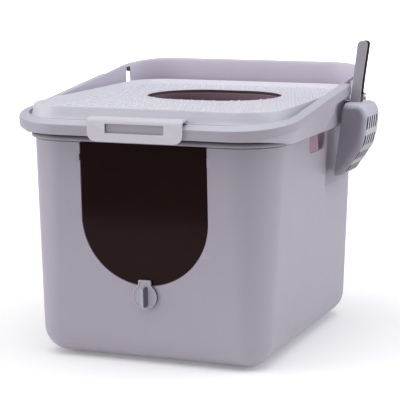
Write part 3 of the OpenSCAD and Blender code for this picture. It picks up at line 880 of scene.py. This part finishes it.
def sheet_faces(solid, index):
    """Both sides of the cells in solid and a wall along every free edge."""
    faces = []
    for i, k in solid:
        corners = ((i, k), (i + 1, k), (i + 1, k + 1), (i, k + 1))
        faces.append(tuple(index[a, b, 0] for a, b in corners))
        faces.append(tuple(index[a, b, 1] for a, b in reversed(corners)))
        sides = (((i - 1, k), (i, k), (i, k + 1)), ((i + 1, k), (i + 1, k), (i + 1, k + 1)),
                 ((i, k - 1), (i, k), (i + 1, k)), ((i, k + 1), (i, k + 1), (i + 1, k + 1)))
        for beside, p, q in sides:
            if beside not in solid:
                faces.append((index[p[0], p[1], 0], index[q[0], q[1], 0],
                              index[q[0], q[1], 1], index[p[0], p[1], 1]))
    return faces


def build_latch():
    """Bent plate with a long window, and barrels round the rod."""
    xs, columns, window_top, window_low = latch_columns()

    def in_window(i, k):
        return abs((xs[i] + xs[i + 1]) / 2) < LATCH_WINDOW and window_top <= k < window_low
    solid = {(i, k) for i in range(len(xs) - 1) for k in range(len(columns[0]) - 1) if not in_window(i, k)}
    verts, index = latch_sheet(xs, columns, 2.8, window_low)
    latch = make_mesh("latch_plate", verts, sheet_faces(solid, index))
    # barrels on both sides of the lid's two lugs
    for x0, x1 in ((-70, -28.3), (-19.7, 19.7), (28.3, 70)):
        boolean(latch, prism("barrel", circle(LATCH_AXIS, 3.4, 32), across, (x0, x1)), "UNION")
    for x0, x1 in ((-28.3, -19.7), (19.7, 28.3)):
        boolean(latch, prism("pocket", circle(LATCH_AXIS, 3.8, 32), across, (x0, x1)))
    boolean(latch, prism("bore", circle(LATCH_AXIS, 1.6, 24), across, (-80, 80)))
    soften(latch, 0.5, lambda m: m.y < -244, angle=45)
    return finish_piece(latch, "latch", LATCH, ("front_latch",))


# -------- door, lock

def build_door():
    place = front_place(DOOR_AXIS_Z)
    door = prism("door_panel", door_outline(DOOR_GROW), place, (DOOR_SKIN, DOOR_SKIN + DOOR_T))
    soften(door, 0.6, angle=45, segments=3)
    for side in (-1, 1):
        for name, radius, steps, near, far in (("barrel", 3.2, 32, -24, -0.2), ("pivot", 2.05, 24, -1, 5.2)):
            x0, x1 = sorted((side * (DOOR_HALF + near), side * (DOOR_HALF + far)))
            rod = circle((0, DOOR_AXIS_IN), radius, steps)
            boolean(door, prism(name, rod, sideways(place), (x0, x1)), "UNION")
    # knuckle at the left pivot
    low = DOOR_SKIN + 0.2
    collar = [(-6.5, low), (6.5, low), (6.5, 4.0), (4.0, 7.2), (-4.0, 7.2), (-6.5, 4.0)]
    boolean(door, prism("collar", collar, sideways(place),
                        (-DOOR_HALF - DOOR_GAP + 0.3, -DOOR_HALF + 3)), "UNION")
    return finish_piece(door, "door", DOOR, ("flap_door",))


def build_bushes():
    place = front_place(DOOR_AXIS_Z)
    for side, node in ((-1, "door_bush_left"), (1, "door_bush_right")):
        x0, x1 = sorted((side * (DOOR_HALF + BUSH_FROM), side * (DOOR_HALF + BUSH_TO)))
        seat_deep = 8.0
        block = prism(node + "_block", box_outline(x0, x1, BUSH_HALF), place, (DOOR_SKIN, seat_deep))
        boolean(block, prism("bore", circle((0, DOOR_AXIS_IN), 2.1, 24), sideways(place), (x0 - 5, x1 + 5)))
        soften(block, 0.5, lambda m: abs(m.z - DOOR_AXIS_Z) > 5, angle=45)
        # shallow seat beside the left pivot, painted near-black below as shade
        if side < 0:
            boolean(block, prism("seat", box_outline(x1 - 1.9, x1 + 1, 4.8), place, (0.0, 1.0)))

        def in_seat(m, normal):
            return -DOOR_HALF - 3.2 < m.x < 0 and normal.y < -0.5 and m.y > -half_d(m.z) + 0.8
        finish_piece(block, "litter_box", SHELL, (node,), areas=((PIVOT_SHADE, in_seat),))


def build_knob():
    place = front_place(KNOB_Z)
    gap, t = 0.3, 4.0

    def disc_and_tab(inset):
        radius, tab, top, r = KNOB_R - inset, 10.0 - inset, 23.4 - inset, 2.5 - inset / 2
        start = math.degrees(math.asin(tab / radius))
        outline = arc((0, 0), radius, 90 + start, 450 - start, 72)
        outline += arc((tab - r, top - r), r, 0, 90, 6)
        return outline + arc((-tab + r, top - r), r, 90, 180, 6)
    plate = prism("knob_plate", disc_and_tab(0.0), place, (-gap - t, -gap))
    soften(plate, 1.0, angle=60, segments=3)
    # face sunk inside a raised border
    boolean(plate, prism("sunk", disc_and_tab(2.3), place, (-gap - t - 1, -gap - t + 0.8)))
    # grip: a ridge that narrows outwards and to its ends
    sections = []
    for depth, half_x, half_v in ((gap + t - 1.2, 4.6, 15.6), (gap + t + 1.2, 3.7, 15.2),
                                  (gap + t + 6.8, 2.7, 14.2), (gap + t + 8.4, 2.2, 13.4),
                                  (gap + t + 9.0, 1.2, 12.2)):
        outline = (arc((0, half_v - half_x), half_x, 0, 180, 12)
                   + arc((0, -half_v + half_x), half_x, 180, 360, 12))
        sections.append([place(u, v, -depth) for u, v in outline])
    verts, faces = loft(sections, cap_first=True, cap_last=True)
    grip = make_mesh("grip", verts, faces)
    boolean(plate, grip, "UNION")
    bore = prism("bore", circle((0, 0), 1.6, 20), place, (-3.9, 7))
    boolean(plate, bore)

    # painted shade: right-facing faces of the grip and plate take the dark colour
    def right_side(m, normal):
        return normal.x > 0.45 and m.x > 0
    finish_piece(plate, "knob", KNOB, ("lock_knob",), areas=((KNOB_SHADE, right_side),))

    def turned_rings(profile, steps):
        return [[place(u, v, w) for u, v in circle((0, 0), r, steps)] for r, w in profile]
    profile = ((1.65, -gap), (5.5, -gap), (5.9, 0.1), (5.9, 4.8), (9.0, 4.8), (9.5, 5.3), (9.5, 6.8),
               (9.0, 7.3), (1.65, 7.3))
    verts, faces = loft(turned_rings(profile, 40), closed_section=True)
    sleeve = make_mesh("knob_sleeve_turned", verts, faces)
    finish_piece(sleeve, "knob", KNOB, ("knob_sleeve",))

    profile = ((1.0, -3.4), (1.6, -2.8), (1.6, 7.3), (3.9, 7.3), (4.0, 7.5), (3.9, 8.4), (3.2, 9.4),
               (2.0, 9.95))
    verts, faces = loft(turned_rings(profile, 32), cap_first=True, cap_last=True)
    screw = make_mesh("knob_screw_head", verts, faces)
    for long, short in ((2.4, 0.45), (0.45, 2.4)):
        boolean(screw, prism("cross", box_outline(-long, long, short), place, (8.8, 12)))
    finish_piece(screw, "knob", STEEL, ("knob_screw",))


# -------- scoop

def rounded_path(points, radii, steps=6):
    """Open path through points with its inner corners rounded."""
    out = [Vector(points[0])]
    for i in range(1, len(points) - 1):
        p, a, b = Vector(points[i]), Vector(points[i - 1]), Vector(points[i + 1])
        da, db = (a - p), (b - p)
        r = min(radii[i], 0.48 * da.length, 0.48 * db.length)
        start, end = p + da.normalized() * r, p + db.normalized() * r
        for k in range(steps + 1):
            f = k / steps
            out.append(start * (1 - f) ** 2 + p * 2 * f * (1 - f) + end * f ** 2)
    out.append(Vector(points[-1]))
    return out


def scoop_sections(path, thickness):
    """Outer and inner rows of the bowl's points; each row is the path moved inwards."""
    rim_dir = (path[0] - path[-1]).normalized()

    def section(inset):
        """The path moved inwards, its two ends kept on the rim's plane."""
        out = []
        for i, p in enumerate(path):
            a, b = path[max(i - 1, 0)], path[min(i + 1, len(path) - 1)]
            tangent = (b - a).normalized()
            q = p + Vector((tangent.y, -tangent.x)) * inset
            if i == 0:
                q = p - rim_dir * inset
            elif i == len(path) - 1:
                q = p + rim_dir * inset
            out.append(q)
        return out

    def shell(inset):
        r = 11.0 - inset
        y0, y1 = SCOOP_Y0 + inset, SCOOP_Y1 - inset
        stations = []
        for k in range(7):
            a = math.radians(90 * k / 6)
            stations.append((y0 + r - r * math.cos(a), r - r * math.sin(a)))
        mirrored = [(y1 - (y - y0), i) for y, i in reversed(stations)]
        return [[(q.x, y, q.y) for q in section(inset + extra)] for y, extra in stations + mirrored]
    return shell(0.0), shell(thickness)


def bowl_faces(n, rows):
    """Faces of an open bowl: outer rows of n points first, then the inner rows."""
    faces = []
    for i in range(rows - 1):
        for j in range(n - 1):
            a, b = i * n, (i + 1) * n
            faces.append((a + j, b + j, b + j + 1, a + j + 1))
            a, b = (rows + i) * n, (rows + i + 1) * n
            faces.append((a + j, a + j + 1, b + j + 1, b + j))
        for j in (0, n - 1):
            a, b, c, d = i * n + j, (i + 1) * n + j, (rows + i + 1) * n + j, (rows + i) * n + j
            faces.append((a, d, c, b) if j == 0 else (a, b, c, d))
    for i in (0, rows - 1):
        a, c = i * n, (rows + i) * n
        wall = [a + j for j in range(n)]
        inside = [c + j for j in range(n)]
        faces.append(tuple(wall) if i else tuple(reversed(wall)))
        faces.append(tuple(reversed(inside)) if i else tuple(inside))
        faces.append((a, c, c + n - 1, a + n - 1) if i == 0 else (a, a + n - 1, c + n - 1, c))
    return faces


def cut_slots(scoop):
    """Four rows of slots, cut at a slant through the wall; gives each slot's place."""
    count = 6
    pitch = (SCOOP_Y1 - SCOOP_Y0 - 8) / count
    slots = []
    for x, z, length, lean in ((243.9, 324, 20, 6.2), (240.6, 298, 17, 6.2), (229.0, 274.5, 15, 34.9),
                               (215.8, 255.5, 14, 34.9)):
        c, s = math.cos(math.radians(lean)), math.sin(math.radians(lean))
        tip = length / 2 - SCOOP_SLOT
        slot = arc((0, tip), SCOOP_SLOT, 0, 180, 8) + arc((0, -tip), SCOOP_SLOT, 180, 360, 8)
        cutters = []
        for k in range(count):
            y = SCOOP_MID + (k - (count - 1) / 2) * pitch

            def place(u, v, w):
                return (x + w * c + v * s, y + u - w * SLOT_SLANT, z - w * s + v * c)
            cutters.append(prism("slot", slot, place, (-5, 5)))
            slots.append((x, y, z, c, s, length / 2 + 0.1))
        boolean(scoop, join(cutters, "slots"))
    return slots


def make_handle():
    """A bar with a round end and a channel that is open to the outside."""
    corners = [(210.5, 350.5), (214.3, 385), (221.0, 444.0), (236.9, 444.0), (228.3, 382), (225.5, 350.5)]
    side_shape = rounded_path(corners, [0, 30, 7.6, 7.6, 30, 0], 8)
    handle = prism("handle", side_shape, along, (SCOOP_MID - HANDLE_HALF, SCOOP_MID + HANDLE_HALF))
    soften(handle, 1.6, lambda m: m.z > 355, segments=3, angle=40)
    channel = rounded_path([(248.0, 441.4), (229.5, 441.4), (218.0, 366.0), (240.0, 358.0)], [0, 5, 4, 0], 5)
    inner_half = HANDLE_HALF - CHEEK
    boolean(handle, prism("channel", channel, along, (SCOOP_MID - inner_half, SCOOP_MID + inner_half)))
    return handle


def build_scoop():
    # outline in X and Z from the rim's top, over the back and down to the rim's bottom
    outline = [(210.0, 352.8), (238.0, 352.8), (245.5, 337.0), (240.0, 291.0), (209.5, 246.0), (195.0, 242.0)]
    path = rounded_path(outline, [0, 12, 14, 18, 8, 0])
    outer, inner = scoop_sections(path, 1.8)
    verts = [p for row in outer + inner for p in row]
    scoop = make_mesh("scoop_body", verts, bowl_faces(len(path), len(outer)))
    slots = cut_slots(scoop)
    boolean(scoop, make_handle(), "UNION")
    hook = [(200.7, 337.3), (203.2, 337.3), (203.2, 350.4), (212, 350.4), (212, 352.9), (200.7, 352.9)]
    boolean(scoop, prism("hook", hook, along, (85, 97)), "UNION")
    soften(scoop, 0.5, lambda m: m.x < 213 and m.z < 349, angle=60)

    # painted light and shade: the handle takes the lighter copy, the body the darker one
    def on_handle(m, normal):
        return m.z > 353.5

    # painted shade: faces inside the handle's channel take the dark hollow colour
    def in_channel(m, normal):
        inside = m.z > 357 and abs(m.y - SCOOP_MID) < HANDLE_HALF - CHEEK + 0.1
        return inside and (normal.x > 0.2 or abs(normal.y) > 0.5 or (normal.z < -0.5 and m.z > 430))

    # painted shade: the slots' walls take the dark hollow colour
    def in_slot(m, normal):
        for x, y, z, c, s, reach in slots:
            w = (m.x - x) * c - (m.z - z) * s
            v = (m.x - x) * s + (m.z - z) * c
            if abs(v) < reach and abs(w) < 5 and abs(m.y - y + w * SLOT_SLANT) < SCOOP_SLOT + 0.1:
                return True
        return False
    return finish_piece(scoop, "scoop", SCOOP_SHADE_AND_LIGHT, ("litter_scoop",),
                        areas=((HANDLE_LIT, on_handle), (HOLLOW_SHADE, in_channel), (HOLLOW_SHADE, in_slot)))


def build_hook():
    x = INNER_HX + 3
    outline = [(x, 322), (x + 2, 322), (x + 8.2, 334), (x + 8.2, 340), (x + 6.2, 340), (x + 6.2, 337),
               (x, 337)]
    hook = prism("hanger_ledge", outline, along, (81, 99))
    soften(hook, 0.5, lambda m: m.x > x + 1, angle=45)
    finish_piece(hook, "litter_box", RIM, ("scoop_hook",))


for build in (build_tub, build_feet, build_rim, build_guard, build_pegs, build_lid, build_nubs, build_pins,
              build_latch, build_door, build_bushes, build_knob, build_scoop, build_hook):
    build()


# -------- stage

def stage_plane(name, corners, colour, glow):
    plane = make_mesh(name, corners, [(0, 1, 2, 3)])
    material = bpy.data.materials.new(name + "_paper")
    material.use_nodes = True
    shader = material.node_tree.nodes["Principled BSDF"]
    shader.inputs["Base Color"].default_value = colour
    shader.inputs["Roughness"].default_value = 0.9
    shader.inputs["Specular IOR Level"].default_value = 0.1
    shader.inputs["Emission Color"].default_value = (1, 1, 1, 1)
    shader.inputs["Emission Strength"].default_value = glow
    plane.data.materials.append(material)


def build_stage():
    stage_plane("floor", [(-5000, -950, 0), (5000, -950, 0), (5000, 4000, 0), (-5000, 4000, 0)],
                (0.94, 0.94, 0.94, 1), 0.15)
    stage_plane("backdrop", [(-2700, 3000, -10), (400, 3000, -10), (400, 3000, 900), (-2700, 3000, 900)],
                (0.9, 0.9, 0.9, 1), 1.05)


def sun(name, azimuth, elevation, strength, spread, colour):
    """Broad soft light from a direction; azimuth 0 is the front, 90 the right."""
    light = bpy.data.lights.new(name, "SUN")
    light.energy = strength * math.pi
    light.angle = math.radians(spread)
    light.color = colour
    obj = bpy.data.objects.new(name, light)
    bpy.context.collection.objects.link(obj)
    a, e = math.radians(azimuth), math.radians(elevation)
    toward = Vector((math.sin(a) * math.cos(e), -math.cos(a) * math.cos(e), math.sin(e)))
    obj.rotation_euler = toward.to_track_quat("Z", "Y").to_euler()


def glow(name, place, energy, size, colour):
    lamp = bpy.data.lights.new(name, "POINT")
    lamp.energy = energy
    lamp.color = colour
    lamp.shadow_soft_size = size
    obj = bpy.data.objects.new(name, lamp)
    bpy.context.collection.objects.link(obj)
    obj.location = place


def build_lights():
    world = bpy.data.worlds.new("studio")
    bpy.context.scene.world = world
    world.use_nodes = True
    background = world.node_tree.nodes["Background"]
    background.inputs["Color"].default_value = (0.97, 0.98, 1.0, 1)
    background.inputs["Strength"].default_value = 0.22
    sun("top_soft", 10, 80, 0.62, 70, (1.0, 0.99, 1.0))
    sun("left_soft", -62, 15, 0.395, 50, (0.97, 0.98, 1.0))
    sun("right_soft", 108, 27, 0.30, 45, (0.87, 0.92, 1.0))
    # light that comes through the thin walls into the tub
    glow("inside_glow", (0.06, 0.08, 0.2), 0.25, 0.06, (1.0, 0.56, 0.48))
    glow("side_glow", (0.115, 0.125, 0.235), 0.14, 0.05, (1.0, 0.84, 0.90))


def build_camera():
    turn, pitch, roll = math.radians(21.116), math.radians(9.358), math.radians(-0.185)
    forward = Vector((-math.sin(turn) * math.cos(pitch), math.cos(turn) * math.cos(pitch), -math.sin(pitch)))
    right = Vector((math.cos(turn), math.sin(turn), 0))
    up = right.cross(forward)
    rolled_right = math.cos(roll) * right + math.sin(roll) * up
    rolled_up = -math.sin(roll) * right + math.cos(roll) * up
    data = bpy.data.cameras.new("camera")
    data.lens = 145.3
    data.sensor_width = 36.0
    data.clip_end = 50
    camera = bpy.data.objects.new("camera", data)
    bpy.context.collection.objects.link(camera)
    place = Matrix((rolled_right, rolled_up, -forward)).transposed().to_4x4()
    place.translation = Vector((0.86595, -2.24457, 0.60052))
    camera.matrix_world = place
    bpy.context.scene.camera = camera


build_stage()
build_lights()
build_camera()
bpy.context.scene.view_settings.view_transform = "Standard"
